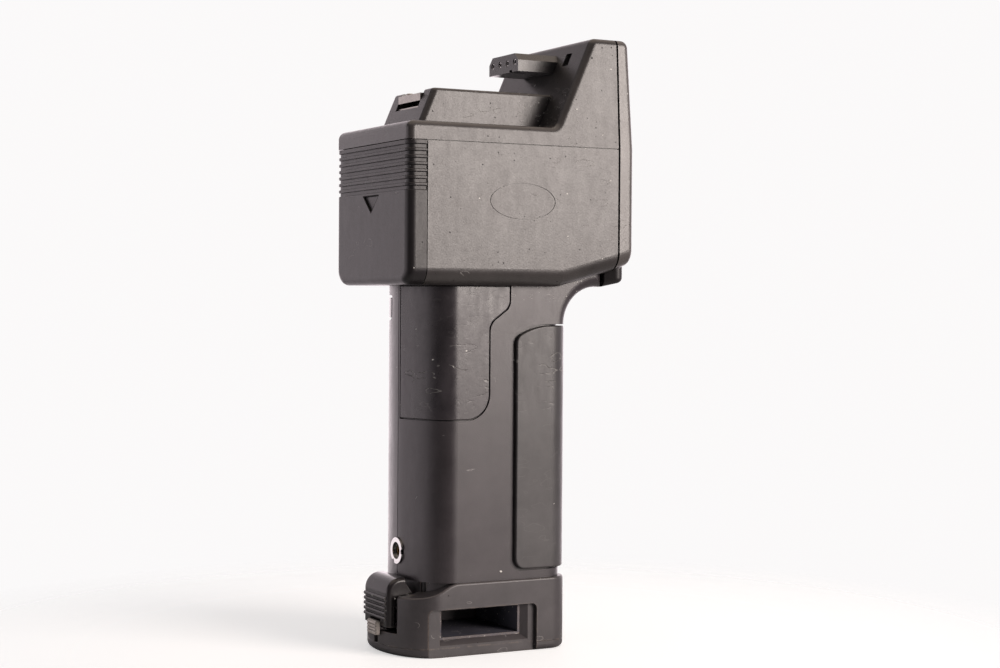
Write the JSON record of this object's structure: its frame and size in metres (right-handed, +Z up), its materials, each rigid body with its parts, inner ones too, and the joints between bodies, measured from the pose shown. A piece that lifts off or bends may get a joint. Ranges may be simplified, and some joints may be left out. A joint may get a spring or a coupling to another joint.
{
  "type": "flash power handle",
  "caption": "Handheld power grip for a docking flash head: box head with docking rail and socket bar, slide-down rear cover, moulded grip, quick-release foot",
  "frame": {"origin": "middle of the part in plan, on the plane of the sole", "axes": "+X forwards, away from the rear cover; +Z up along the grip; +Y to the far side of the grip"},
  "size_m": [0.0914, 0.063, 0.222],
  "materials": {
    "black_shell": "fine satin texture",
    "black_cover": "fine satin texture",
    "grey_moulding": "plain moulded",
    "cell_jacket": "plain shrink sleeve",
    "nickel": "nickel plated",
    "steel": "bright zinc plated",
    "board_laminate": "green lacquer",
    "winding": "varnished tape",
    "component": "moulded epoxy",
    "black_screw": "black oxide",
    "bright_steel": "bright rolled sheet",
    "black_connector": "smooth moulded",
    "black_grip": "satin",
    "palm_gloss": "polished by handling, scratched",
    "pad_rubber": "worn rubber",
    "chrome_ring": "polished",
    "brass_contact": "bare",
    "capacitor_sleeve": "shrink sleeve",
    "black_foot": "satin",
    "dark_sleeve": "black phosphate",
    "black_lever": "satin",
    "lock_brown": "satin"
  },
  "bodies": {
    "handle": {"head_upper_shell": "black_shell", "head_lower_shell": "black_shell", "front_panel": "black_shell", "chin_block": "black_shell", "battery_magazine": "grey_moulding", "magazine_cap": "grey_moulding", "battery_cells": "cell_jacket", "cell_contacts": "nickel", "magazine_terminals": "nickel", "bulkhead": "grey_moulding", "bay_contacts": "nickel", "main_board": "board_laminate", "board_screws": "steel", "inverter_transformer": "winding", "board_parts": "component", "tie_screws": "steel", "panel_screws": "black_screw", "catch_tray": "bright_steel", "connector_housing": "black_connector", "connector_contacts": "nickel", "grip_near_shell": "black_grip", "grip_far_shell": "black_grip", "palm_panel": "palm_gloss", "front_grip_pad": "pad_rubber", "shell_screws": "black_screw", "neck_screws": "steel", "sync_ring": "chrome_ring", "sync_insulator": "black_connector", "sync_contacts": "brass_contact", "switch_plate": "black_cover", "switch_body": "grey_moulding", "storage_capacitor": "capacitor_sleeve", "capacitor_clamp": "grey_moulding", "foot_shell": "black_foot", "sole_plate": "black_foot", "foot_screws": "black_screw", "bracket_sleeve": "dark_sleeve", "lever_pin": "steel"},
    "cover": {"rear_cover": "black_cover"},
    "catch": {"dock_catch": "bright_steel", "catch_stud": "bright_steel", "catch_spring": "steel"},
    "switch": {"switch_knob": "black_cover"},
    "lever": {"release_lever": "black_lever", "lever_spring": "steel"},
    "lock": {"lock_slider": "lock_brown", "lock_keeper": "steel"}
  },
  "joints": [
    {"name": "cover_slide", "type": "slide", "parent": "handle", "child": "cover", "axis": [0, 0, -1], "range_m": [0, 0.052]},
    {"name": "catch_press", "type": "slide", "parent": "handle", "child": "catch", "axis": [0, 0, -1], "range_m": [0, 0.0016], "stiffness_N_per_m": 600, "springref_m": -0.001, "deforming": ["catch_spring"]},
    {"name": "switch_slide", "type": "slide", "parent": "handle", "child": "switch", "axis": [1, 0, 0], "range_m": [0, 0.005]},
    {"name": "lever_swing", "type": "hinge", "parent": "handle", "child": "lever", "pos_m": [-0.03495, 0, 0.0206], "axis": [0, 1, 0], "range_deg": [0, 10], "stiffness_Nm_per_rad": 0.12, "springref_deg": -8.59},
    {"name": "lock_drop", "type": "slide", "parent": "handle", "child": "lock", "axis": [0, 0, -1], "range_m": [0, 0.0024]}
  ]
}
